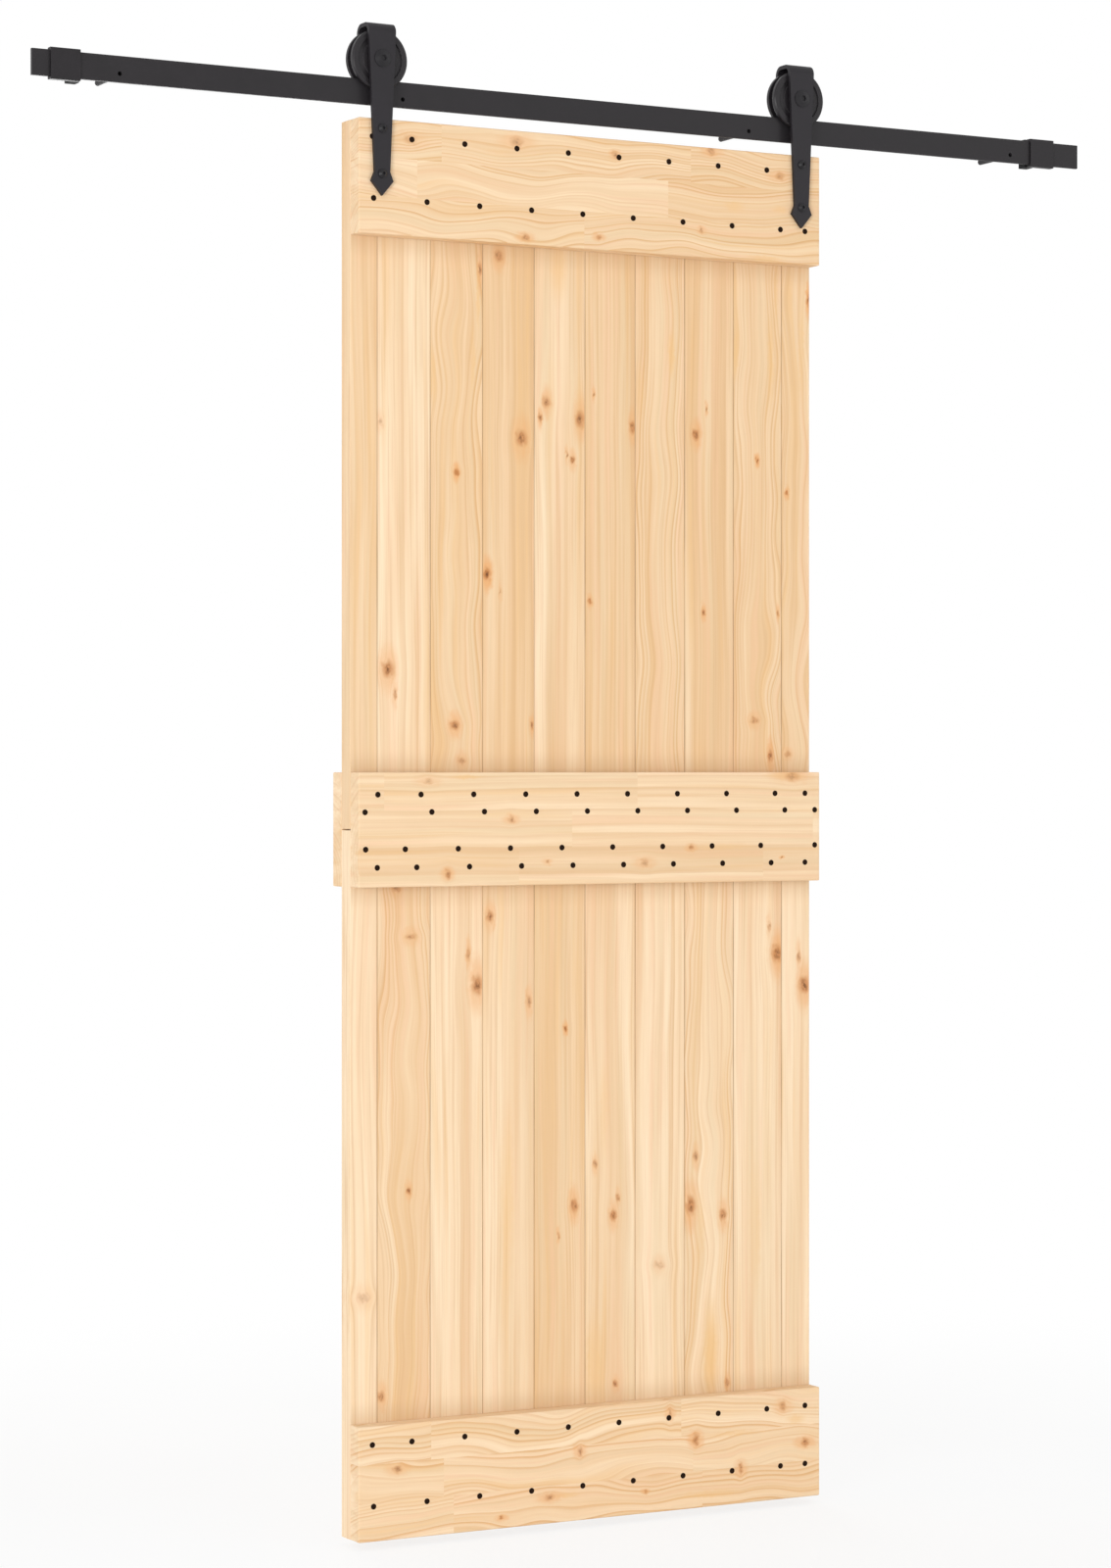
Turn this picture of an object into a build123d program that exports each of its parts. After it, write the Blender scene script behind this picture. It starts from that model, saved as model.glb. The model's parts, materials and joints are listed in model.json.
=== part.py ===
from build123d import *
import os

# Sliding barn door hung on a wall track, in millimetres.
# X runs along the track, Y points from the door to the wall, Z is up.
# The origin is the centre of the wall face of the left inner stand-off.

# Leaf
leaf_width = 800.0
leaf_height = 2100.0
wall_gap = 8.0

# Vertical planks, in an upper and a lower half
plank_thickness = 30.0
full_plank_count = 8
first_plank_width = 44.0
last_plank_width = 52.0
plank_edge_ease = 0.8
half_joint_gap = 2.0
tongue_length = 8.0
tongue_thickness = 8.0
tongue_side_clearance = 0.25
tongue_end_clearance = 1.0

# Horizontal boards across the planks
board_thickness = 30.0
board_height = 170.0
board_edge_ease = 1.2

# Track bar
track_length = 1810.0
track_height = 38.0
track_thickness = 6.0
track_edge_ease = 0.6
leaf_to_track = 21.0
fixing_height = 12.5
inner_fixing_spacing = 600.0
inner_fixing_offset = 22.0
outer_fixing_inset = 133.0
fixing_hole_diameter = 6.5
spacer_diameter = 9.0

# End stops
left_stop_inset = 27.0
right_stop_inset = 50.0
stop_length = 45.0
stop_wall = 3.5
stop_edge_radius = 2.0
stop_fit = 0.1
buffer_length = 16.0
buffer_depth = 18.0
buffer_reach = 3.0
buffer_edge_radius = 1.5

# Hanger straps
hanger_inset = 36.0
strap_thickness = 6.0
strap_top_width = 44.0
strap_neck_width = 25.0
strap_shoulder_width = 36.0
strap_tip_drop = 114.0
strap_shoulder_rise = 21.5
strap_neck_rise = 35.0
strap_bend_radius = 14.0
upper_strap_bolt_drop = 15.0
lower_strap_bolt_drop = 82.0

# Wheels
wheel_radius = 45.0
wheel_tread_radius = 29.0
wheel_width = 27.5
wheel_side_clearance = 1.5
wheel_top_clearance = 2.5
tread_gap = 0.3
groove_side_clearance = 1.5
groove_draft = 0.8
wheel_edge_ease = 2.0
wheel_hub_radius = 18.0
wheel_step_radius = 27.5
wheel_recess_radius = 35.5
wheel_step_depth = 1.8
wheel_recess_depth = 3.0
wheel_rim_setback = 0.6

# Bolts and nuts
axle_diameter = 10.0
axle_bearing_clearance = 0.08
axle_head_diameter = 26.0
axle_head_height = 4.5
axle_nut_width = 17.0
axle_nut_height = 8.0
strap_bolt_diameter = 8.0
strap_head_diameter = 14.0
strap_head_height = 4.5
strap_nut_width = 13.0
strap_nut_height = 6.5
bolt_hole_clearance = 0.2
bolt_end_length = 3.0
bolt_end_chamfer = 1.0
head_rim_height = 1.2
head_crown_share = 0.55
socket_share = 0.36
socket_depth = 2.5
hex_sides = 6

# How far a cutting solid runs past the faces that it cuts
cut_overrun = 1.0

# Heights that follow from the sizes above
track_bottom = -fixing_height
track_top = track_bottom + track_height
track_middle = (track_bottom + track_top) / 2
leaf_top = track_bottom - leaf_to_track
leaf_bottom = leaf_top - leaf_height
leaf_joint = (leaf_top + leaf_bottom) / 2
axle_z = track_top + tread_gap + wheel_tread_radius
strap_inner_top = axle_z + wheel_radius + wheel_top_clearance
strap_top = strap_inner_top + strap_thickness
strap_tip = leaf_top - strap_tip_drop
strap_shoulder = strap_tip + strap_shoulder_rise
strap_neck = strap_tip + strap_neck_rise
strap_bolt_heights = (leaf_top - upper_strap_bolt_drop, leaf_top - lower_strap_bolt_drop)

# Depths, from the wall at zero to the front
back_board_face = -wall_gap
plank_back = back_board_face - board_thickness
plank_front = plank_back - plank_thickness
plank_middle = (plank_back + plank_front) / 2
leaf_front = plank_front - board_thickness
leg_gap = wheel_width + 2 * wheel_side_clearance
track_depth = leaf_front + leg_gap / 2
track_front = track_depth - track_thickness / 2
track_back = track_depth + track_thickness / 2
strap_front = leaf_front - strap_thickness
strap_back = leaf_front + leg_gap + strap_thickness

# Places along the track
track_centre = inner_fixing_spacing / 2 + inner_fixing_offset
track_left = track_centre - track_length / 2
track_right = track_centre + track_length / 2
leaf_left = track_centre - leaf_width / 2
leaf_right = track_centre + leaf_width / 2
hanger_places = {"left": leaf_left + hanger_inset, "right": leaf_right - hanger_inset}
stop_places = {
    "left": track_left + left_stop_inset + stop_length,
    "right": track_right - right_stop_inset - stop_length,
}
fixing_places = {
    "outer_left": track_left + outer_fixing_inset,
    "inner_left": 0.0,
    "inner_right": inner_fixing_spacing,
    "outer_right": track_right - outer_fixing_inset,
}


def along_y(solid, x, y, z):
    """Lay a solid built up the Z axis along +Y, with its base at the given point."""
    return Pos(x, y, z) * Rot(-90, 0, 0) * solid


def rod(radius, start_y, end_y, x, z):
    """A plain round rod along Y between two depths."""
    upright = Cylinder(radius, end_y - start_y, align=(Align.CENTER, Align.CENTER, Align.MIN))
    return along_y(upright, x, start_y, z)


def strap_bolt_holes():
    """Clearance holes for the bolts of both hangers, through the whole leaf and strap."""
    radius = strap_bolt_diameter / 2 + bolt_hole_clearance
    holes = []
    for x in hanger_places.values():
        for z in strap_bolt_heights:
            holes.append(rod(radius, strap_front - cut_overrun, plank_back + cut_overrun, x, z))
    return holes


def plank(left, right, bottom, top, has_tongue, has_groove):
    """One vertical plank: tongue on its right edge, groove in its left edge, eased corners."""
    section = Pos((left + right) / 2, plank_middle) * Rectangle(right - left, plank_thickness)
    section = chamfer(section.vertices(), plank_edge_ease)
    if has_tongue:
        section += Pos(right, plank_middle) * Rectangle(
            tongue_length, tongue_thickness, align=(Align.MIN, Align.CENTER)
        )
    if has_groove:
        section -= Pos(left, plank_middle) * Rectangle(
            tongue_length + tongue_end_clearance,
            tongue_thickness + 2 * tongue_side_clearance,
            align=(Align.MIN, Align.CENTER),
        )
    return Pos(0, 0, bottom) * extrude(section, top - bottom)


def plank_edges():
    """The joint lines between planks, from the leaf's left edge to its right edge."""
    full_width = (leaf_width - first_plank_width - last_plank_width) / full_plank_count
    edges = [leaf_left]
    for number in range(full_plank_count + 1):
        edges.append(leaf_left + first_plank_width + number * full_width)
    edges.append(leaf_right)
    return edges


def make_planks():
    """The planks of both halves; holes are cut where a hanger bolt passes."""
    edges = plank_edges()
    count = len(edges) - 1
    halves = {
        "upper": (leaf_joint + half_joint_gap / 2, leaf_top),
        "lower": (leaf_bottom, leaf_joint - half_joint_gap / 2),
    }
    planks = {}
    for half, (bottom, top) in halves.items():
        for number in range(count):
            left = edges[number]
            right = edges[number + 1]
            piece = plank(left, right, bottom, top, number < count - 1, number > 0)
            if half == "upper":
                for x in hanger_places.values():
                    if left - strap_bolt_diameter < x < right + tongue_length + strap_bolt_diameter:
                        piece -= strap_bolt_holes()
            planks[f"{half}_plank_{number + 1:02d}"] = piece
    return planks


def board(middle_z, front_y):
    """One horizontal board across the full width of the leaf, with eased edges."""
    blank = Box(leaf_width, board_thickness, board_height, align=(Align.CENTER, Align.MIN, Align.CENTER))
    blank = chamfer(blank.edges(), board_edge_ease)
    return Pos(track_centre, front_y, middle_z) * blank


def make_boards():
    """Three boards on the front and one behind the middle."""
    top_board = board(leaf_top - board_height / 2, leaf_front) - strap_bolt_holes()
    return {
        "top_board": top_board,
        "middle_board": board(leaf_joint, leaf_front),
        "bottom_board": board(leaf_bottom + board_height / 2, leaf_front),
        "back_board": board(leaf_joint, plank_back),
    }


def make_track_bar():
    """The flat bar with its row of fixing holes."""
    bar = Box(track_length, track_thickness, track_height)
    bar = chamfer(bar.edges().filter_by(Axis.X), track_edge_ease)
    bar = Pos(track_centre, track_depth, track_middle) * bar
    for x in fixing_places.values():
        bar -= rod(fixing_hole_diameter / 2, track_front - cut_overrun, track_back + cut_overrun, x, 0)
    return bar


def make_spacer(x):
    """A tube that holds the bar off the wall."""
    tube = rod(spacer_diameter / 2, track_back, 0, x, 0)
    return tube - rod(fixing_hole_diameter / 2, track_back - cut_overrun, cut_overrun, x, 0)


def make_end_stop(inner_end, outward):
    """A sleeve round the bar, from its inner end outward: -1 is to the left, 1 to the right."""
    inner_width = track_thickness + 2 * stop_fit
    inner_height = track_height + 2 * stop_fit
    outer = Box(stop_length, inner_width + 2 * stop_wall, inner_height + 2 * stop_wall)
    outer = fillet(outer.edges().filter_by(Axis.X), stop_edge_radius)
    sleeve = outer - Box(stop_length + 2 * cut_overrun, inner_width, inner_height)
    return Pos(inner_end + outward * stop_length / 2, track_depth, track_middle) * sleeve


def make_buffer(inner_end, outward):
    """The rubber block on the back of an end stop, proud of its inner end."""
    height = track_height + 2 * stop_fit + 2 * stop_wall
    block = Box(buffer_length, buffer_depth, height, align=(Align.CENTER, Align.MIN, Align.CENTER))
    block = fillet(block.edges().filter_by(Axis.Z), buffer_edge_radius)
    x = inner_end + outward * (buffer_length / 2 - buffer_reach)
    return Pos(x, track_back + stop_fit + stop_wall, track_middle) * block


def make_strap(x):
    """A flat strap with an arrow tip, bent back over the wheel and down to the axle."""
    depth = strap_back - strap_front
    outer = Rectangle(depth, strap_top - strap_tip, align=(Align.MIN, Align.MIN))
    outer = fillet(outer.vertices().group_by(Axis.Y)[-1], strap_bend_radius)
    inner = Rectangle(leg_gap, strap_inner_top - strap_tip, align=(Align.MIN, Align.MIN))
    inner = Pos(strap_thickness, 0) * inner
    inner = fillet(inner.vertices().group_by(Axis.Y)[-1], strap_bend_radius - strap_thickness)
    side_view = Plane.YZ * Pos(strap_front, strap_tip) * (outer - inner)
    bent = extrude(side_view, strap_top_width / 2, both=True)

    half_front = Polyline(
        (0, strap_tip),
        (strap_shoulder_width / 2, strap_shoulder),
        (strap_neck_width / 2, strap_neck),
        (strap_top_width / 2, strap_top - strap_bend_radius),
        (strap_top_width / 2, strap_top),
        (0, strap_top),
        close=True,
    )
    front_view = make_face(half_front)
    front_view += mirror(front_view, Plane.YZ)
    back_view = Pos(0, axle_z) * Circle(strap_top_width / 2)
    back_view += Pos(0, axle_z) * Rectangle(
        strap_top_width, strap_top - axle_z, align=(Align.CENTER, Align.MIN)
    )
    front_half = Pos(0, track_depth, 0) * extrude(Plane.XZ * front_view, depth)
    back_half = Pos(0, track_depth, 0) * extrude(Plane.XZ * back_view, -depth)
    strap = Pos(x, 0, 0) * (bent & (front_half + back_half))

    axle_hole = axle_diameter / 2 + bolt_hole_clearance
    strap -= rod(axle_hole, strap_front - cut_overrun, strap_back + cut_overrun, x, axle_z)
    return strap - strap_bolt_holes()


def make_wheel(x):
    """A turned wheel with a groove for the bar and stepped faces."""
    half_width = wheel_width / 2
    rim_face = half_width - wheel_rim_setback
    groove_foot = track_thickness / 2 + groove_side_clearance
    groove_mouth = groove_foot + groove_draft
    bore_radius = axle_diameter / 2 + axle_bearing_clearance
    half_profile = Polyline(
        (0, bore_radius),
        (half_width, bore_radius),
        (half_width, wheel_hub_radius),
        (half_width - wheel_step_depth, wheel_hub_radius),
        (half_width - wheel_step_depth, wheel_step_radius),
        (half_width - wheel_recess_depth, wheel_step_radius),
        (half_width - wheel_recess_depth, wheel_recess_radius),
        (rim_face, wheel_recess_radius),
        (rim_face, wheel_radius - wheel_edge_ease),
        (rim_face - wheel_edge_ease, wheel_radius),
        (groove_mouth, wheel_radius),
        (groove_foot, wheel_tread_radius),
        (0, wheel_tread_radius),
        close=True,
    )
    profile = make_face(half_profile)
    profile += mirror(profile, Plane.YZ)
    return Pos(x, track_depth, axle_z) * Rot(0, 0, 90) * revolve(profile, Axis.X)


def pan_bolt(diameter, length, head_diameter, head_height):
    """A round-headed bolt up the Z axis: the head is below zero, the shank above."""
    crown_height = head_height - head_rim_height
    crown_width = head_diameter / 2 * head_crown_share
    head = Cylinder(head_diameter / 2, head_height, align=(Align.CENTER, Align.CENTER, Align.MAX))
    head = chamfer(head.edges().group_by(Axis.Z)[0], crown_height, crown_width)
    socket = RegularPolygon(head_diameter * socket_share / 2, hex_sides)
    head -= Pos(0, 0, -head_height) * extrude(socket, socket_depth)
    shank = Cylinder(diameter / 2, length, align=(Align.CENTER, Align.CENTER, Align.MIN))
    shank = chamfer(shank.edges().group_by(Axis.Z)[-1], bolt_end_chamfer)
    return head + shank


def hex_nut(width, height, bolt_diameter):
    """A hexagon nut up the Z axis with its lower face at zero."""
    blank = extrude(RegularPolygon(width / 2, hex_sides, major_radius=False), height)
    bore = Cylinder(bolt_diameter / 2 + bolt_hole_clearance, 2 * (height + cut_overrun))
    return blank - bore


def make_axle_bolt(x):
    """The bolt that the wheel turns on, through both legs of the strap."""
    length = strap_back - strap_front + axle_nut_height + bolt_end_length
    bolt = pan_bolt(axle_diameter, length, axle_head_diameter, axle_head_height)
    return along_y(bolt, x, strap_front, axle_z)


def make_axle_nut(x):
    """The nut behind the strap's back leg."""
    return along_y(hex_nut(axle_nut_width, axle_nut_height, axle_diameter), x, strap_back, axle_z)


def make_strap_bolts(x):
    """The two bolts that hold a strap to the leaf."""
    length = plank_back - strap_front + strap_nut_height + bolt_end_length
    bolt = pan_bolt(strap_bolt_diameter, length, strap_head_diameter, strap_head_height)
    return Compound([along_y(bolt, x, strap_front, z) for z in strap_bolt_heights])


def make_strap_nuts(x):
    """The two nuts on the back of the planks."""
    nut = hex_nut(strap_nut_width, strap_nut_height, strap_bolt_diameter)
    return Compound([along_y(nut, x, plank_back, z) for z in strap_bolt_heights])


pieces = {"track_bar": make_track_bar()}
for place, fixing_x in fixing_places.items():
    pieces[f"spacer_{place}"] = make_spacer(fixing_x)
for end, outward in {"left": -1, "right": 1}.items():
    pieces[f"end_stop_{end}"] = make_end_stop(stop_places[end], outward)
    pieces[f"buffer_{end}"] = make_buffer(stop_places[end], outward)
pieces.update(make_planks())
pieces.update(make_boards())
for end, hanger_x in hanger_places.items():
    pieces[f"hanger_strap_{end}"] = make_strap(hanger_x)
    pieces[f"wheel_{end}"] = make_wheel(hanger_x)
    pieces[f"axle_bolt_{end}"] = make_axle_bolt(hanger_x)
    pieces[f"axle_nut_{end}"] = make_axle_nut(hanger_x)
    pieces[f"strap_bolts_{end}"] = make_strap_bolts(hanger_x)
    pieces[f"strap_nuts_{end}"] = make_strap_nuts(hanger_x)

os.makedirs("parts", exist_ok=True)
for name, piece in pieces.items():
    export_step(piece, f"parts/{name}.step")
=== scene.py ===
import json
import math
import random

import bmesh
import bpy
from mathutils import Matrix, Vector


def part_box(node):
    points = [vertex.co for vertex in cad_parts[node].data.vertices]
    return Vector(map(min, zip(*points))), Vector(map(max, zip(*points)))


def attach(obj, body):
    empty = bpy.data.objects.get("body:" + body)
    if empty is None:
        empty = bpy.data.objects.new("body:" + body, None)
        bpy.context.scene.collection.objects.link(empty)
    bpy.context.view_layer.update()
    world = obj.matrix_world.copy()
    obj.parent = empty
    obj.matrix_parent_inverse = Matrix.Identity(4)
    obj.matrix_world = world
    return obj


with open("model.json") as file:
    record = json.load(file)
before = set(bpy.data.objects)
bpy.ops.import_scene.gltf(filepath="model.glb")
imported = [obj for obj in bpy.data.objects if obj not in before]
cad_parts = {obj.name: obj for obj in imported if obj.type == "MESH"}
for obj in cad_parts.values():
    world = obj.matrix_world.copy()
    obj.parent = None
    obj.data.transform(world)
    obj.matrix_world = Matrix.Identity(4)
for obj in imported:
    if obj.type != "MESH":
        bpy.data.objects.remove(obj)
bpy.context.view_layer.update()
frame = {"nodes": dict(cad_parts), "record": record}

MM = 0.001

# Leaf layout, read from the frame

PLANKS_PER_HALF = 10
PLANK_NUMBERS = [f"{number:02d}" for number in range(1, PLANKS_PER_HALF + 1)]
PLANK_NAMES = [f"{half}_plank_{number}" for half in ("upper", "lower") for number in PLANK_NUMBERS]
BOARD_NAMES = ["top_board", "middle_board", "bottom_board", "back_board"]
LEAF_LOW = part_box("bottom_board")[0]
LEAF_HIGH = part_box("top_board")[1]
LEAF_MIDDLE = (LEAF_LOW + LEAF_HIGH) / 2
LEAF_LEFT = LEAF_LOW.x
LEAF_BOTTOM = LEAF_LOW.z
BOARD_FACE = LEAF_LOW.y

# The photo's camera, fitted to the leaf's perspective; focal length and horizon are in the photo's pixels

PHOTO_WIDTH = 1134
PHOTO_HEIGHT = 1600
FOCAL_PIXELS = 3954.07
HORIZON_ROW = 785.36
CAMERA_LEFT_OF_LEAF = 2453.9 * MM
CAMERA_BEFORE_LEAF = 5156.6 * MM
CAMERA_ABOVE_FOOT = 1138.9 * MM
CAMERA_TURN = math.radians(28.354)
CAMERA_X = LEAF_LEFT - CAMERA_LEFT_OF_LEAF
CAMERA_Y = BOARD_FACE - CAMERA_BEFORE_LEAF
CAMERA_Z = LEAF_BOTTOM + CAMERA_ABOVE_FOOT
CAMERA_REACH = 200.0
SENSOR = 36.0


def on_face(column, row, face):
    """Where a pixel of the photo lies on an upright face of the leaf, as (x, z)."""
    aside = (column - PHOTO_WIDTH / 2) / FOCAL_PIXELS
    below = (row - HORIZON_ROW) / FOCAL_PIXELS
    distance = (face - CAMERA_Y) / (math.cos(CAMERA_TURN) - aside * math.sin(CAMERA_TURN))
    x = CAMERA_X + distance * (math.sin(CAMERA_TURN) + aside * math.cos(CAMERA_TURN))
    return x, CAMERA_Z - distance * below


# Node graphs

NOISE_MIDDLE = 0.5
NOISE_DETAIL = 2.0


class Graph:
    """The node tree of a material or a world, with one short call for each kind of node."""

    def __init__(self, owner):
        owner.use_nodes = True
        self.owner = owner
        self.tree = owner.node_tree
        self.tree.nodes.clear()

    def node(self, kind, **settings):
        made = self.tree.nodes.new(kind)
        for key, value in settings.items():
            setattr(made, key, value)
        return made

    def link(self, value, socket):
        """Feed a socket from another socket, or set it to a plain value or colour."""
        if isinstance(value, bpy.types.NodeSocket):
            self.tree.links.new(value, socket)
        elif socket.type == "RGBA":
            socket.default_value = (*value, 1.0)
        else:
            socket.default_value = value

    def math(self, operation, *values, clamp=False):
        made = self.node("ShaderNodeMath", operation=operation, use_clamp=clamp)
        for value, socket in zip(values, made.inputs):
            self.link(value, socket)
        return made.outputs[0]

    def add(self, first, *others):
        total = first
        for other in others:
            total = self.math("ADD", total, other)
        return total

    def minus(self, first, second):
        return self.math("SUBTRACT", first, second)

    def times(self, first, second):
        return self.math("MULTIPLY", first, second)

    def over(self, first, second):
        return self.math("DIVIDE", first, second)

    def length(self, x, y):
        return self.math("SQRT", self.add(self.times(x, x), self.times(y, y)))

    def largest(self, fields):
        total = fields[0]
        for field in fields[1:]:
            total = self.math("MAXIMUM", total, field)
        return total

    def swing(self, noise, reach):
        """A noise turned to a swing about zero."""
        return self.times(self.minus(noise, NOISE_MIDDLE), reach)

    def smooth(self, value, low, high, low_result=0.0, high_result=1.0):
        made = self.node("ShaderNodeMapRange", interpolation_type="SMOOTHSTEP")
        for item, socket in zip((value, low, high, low_result, high_result), made.inputs):
            self.link(item, socket)
        return made.outputs[0]

    def mix(self, factor, first, second):
        made = self.node("ShaderNodeMix", data_type="RGBA")
        self.link(factor, made.inputs["Factor"])
        colours = [socket for socket in made.inputs if socket.type == "RGBA"]
        for colour, socket in zip((first, second), colours):
            self.link(colour, socket)
        return next(socket for socket in made.outputs if socket.type == "RGBA")

    def combine(self, x, y, z):
        made = self.node("ShaderNodeCombineXYZ")
        for value, socket in zip((x, y, z), made.inputs):
            self.link(value, socket)
        return made.outputs[0]

    def separate(self, vector):
        made = self.node("ShaderNodeSeparateXYZ")
        self.link(vector, made.inputs[0])
        return made.outputs[0], made.outputs[1], made.outputs[2]

    def noise(self, vector, detail=NOISE_DETAIL, scale=1.0):
        made = self.node("ShaderNodeTexNoise")
        self.link(vector, made.inputs["Vector"])
        self.link(scale, made.inputs["Scale"])
        self.link(detail, made.inputs["Detail"])
        return made.outputs[0]

    def random_per(self, value):
        made = self.node("ShaderNodeTexWhiteNoise", noise_dimensions="1D")
        self.link(value, made.inputs["W"])
        return made.outputs["Value"]

    def position(self):
        return self.node("ShaderNodeTexCoord").outputs["Object"]

    def normal(self):
        return self.node("ShaderNodeNewGeometry").outputs["Normal"]

    def bump(self, height, strength, distance, normal=None):
        made = self.node("ShaderNodeBump")
        self.link(strength, made.inputs["Strength"])
        self.link(distance, made.inputs["Distance"])
        self.link(height, made.inputs["Height"])
        if normal is not None:
            self.link(normal, made.inputs["Normal"])
        return made.outputs[0]

    def principled(self, colour, roughness, normal=None, shine=0.5):
        made = self.node("ShaderNodeBsdfPrincipled")
        self.link(colour, made.inputs["Base Color"])
        self.link(roughness, made.inputs["Roughness"])
        self.link(shine, made.inputs["Specular IOR Level"])
        if normal is not None:
            self.link(normal, made.inputs["Normal"])
        return made.outputs[0]

    def surface(self, shader, output="ShaderNodeOutputMaterial"):
        """Close the graph with its output node."""
        self.link(shader, self.node(output).inputs["Surface"])
        return self.owner


def material_graph(name):
    return Graph(bpy.data.materials.new(name))


# Pine: colours

WARM_WOOD = (0.790, 0.528, 0.290)
PALE_WOOD = (0.940, 0.742, 0.515)
PINK_BAND = (0.860, 0.560, 0.345)
HONEY_BAND = (0.830, 0.525, 0.235)
GREY_BAND = (0.790, 0.600, 0.375)
LATE_WOOD = (0.700, 0.430, 0.215)
FIGURE_LINE = (0.690, 0.370, 0.140)
KNOT_HEART = (0.165, 0.062, 0.025)
KNOT_RING = (0.565, 0.230, 0.075)
KNOT_HALO = (0.795, 0.410, 0.170)
JOINT_DUST = (0.330, 0.205, 0.110)
CORNER_SHADE = (0.480, 0.340, 0.205)

# Pine: sizes and shares; a pair is a range that each board draws from

RING_SPACING = 7.0 * MM
FIGURED_SPACING = 6.5 * MM
SPACING_SPREAD = (0.8, 1.3)
GRAIN_WANDER = (5.0 * MM, 12.0 * MM)
FIGURED_WANDER = (26.0 * MM, 38.0 * MM)
PITH_ACROSS = (-1.1, 1.1)
PITH_DEPTH = (35 * MM, 95 * MM)
NOISE_START = (0, 50)
FIGURE_SLANT = 0.5
STAVES_PER_BOARD = 3
STAVE_LENGTH = 430 * MM
STAVE_START = 40.0
STAVE_TONE = 0.22
STAVE_SEED = 7.0
PIECE_SEED = 31.0
JOINT_DUST_WIDTH = 1.8 * MM
JOINT_DUST_FADE = 0.6 * JOINT_DUST_WIDTH
CORNER_SHADE_REACH = 38 * MM
CORNER_SHADE_MOST = 0.30
KNOT_PUSH = 1.2
KNOT_SWIRL = 14.0
KNOT_RAGGEDNESS = 9.0 * MM
RAGGED_ALONG = 1.4
GRAIN_BUMP = 0.4 * MM
GRAIN_BUMP_STRENGTH = 0.2
FIBRE_HEIGHT = 0.6
LATE_WOOD_HEIGHT = -0.8
WOOD_SHINE = 0.2

# Pine: noise, in repeats a metre across, through and along the board; the dust's only along it

RAGGED_NOISE = (130, 130, 90)
MOTTLE_NOISE = (210, 210, 150)
WANDER_NOISE = (9, 9, 2.0)
FIGURED_WANDER_NOISE = (9, 9, 5.0)
WANDER_DETAIL = 1.0
DUST_NOISE_ALONG = 5.0

# Pine: noise drawn out along the grain, in repeats a metre across and along, and where it starts

BROAD_NOISE = (26, 0.9, 3.0)
BAND_NOISE = (95, 1.8, 11.0)
HUE_NOISE = (70, 2.2, 23.0)
GREY_NOISE = (60, 1.4, 71.0)
LINE_NOISE = (330, 3.5, 37.0)
FIBRE_NOISE = (900, 24.0, 51.0)
DEPTH_PER_ACROSS = 1 / 3
FINE_DETAIL = 3.0
BROAD_CONTRAST = 1.4
BAND_CONTRAST = 1.3

# Pine: steps from a value to how strongly something shows, as where it begins and ends, then least and most

PINK_STEP = (0.50, 0.72, 0.0, 0.50)
HONEY_STEP = (0.47, 0.26, 0.0, 0.40)
GREY_STEP = (0.50, 0.70, 0.0, 0.45)
PLANK_LINE_STEP = (0.48, 0.75, 0.0, 0.43)
BOARD_LINE_STEP = (0.48, 0.75, 0.0, 0.22)
FIBRE_STEP = (0.40, 0.75, 0.0, 0.10)
RING_RISE = (0.30, 0.90)
RING_FALL = (0.92, 1.0, 1.0, 0.0)
RING_FADE = (0.70, 0.40, 0.25, 1.0)
RING_STEP = (0.10, 1.0, 0.0, 0.48)
FIGURE_STEP = (0.10, 1.0, 0.0, 0.72)
MOTTLE_STEP = (0.38, 0.58, 0.1, 1.0)
SWIRL_STEP = (-1.0, 1.0, 0.65, 1.0)
HALO_STEP = (0.25, 0.65, 0.5, 1.0)
STREAK_STEP = (0.25, 0.60, 0.45, 1.0)
DUST_STEP = (0.30, 0.70, 0.35, 0.75)
FRONT_STEP = (-0.5, -0.9)
WOOD_ROUGHNESS_STEP = (0.2, 1.2, 0.58, 0.72)

# Pine: where a mark's parts begin and are full, in half sizes from its middle

HALO_EDGE = (2.4, 0.8)
HALO_ALONG = math.sqrt(0.32)
HALO_MOST = 0.95
KNOT_EDGE = (1.5, 0.45)
HEART_EDGE = (0.85, 0.15)
STREAK_EDGE = (1.3, 0.2)

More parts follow.
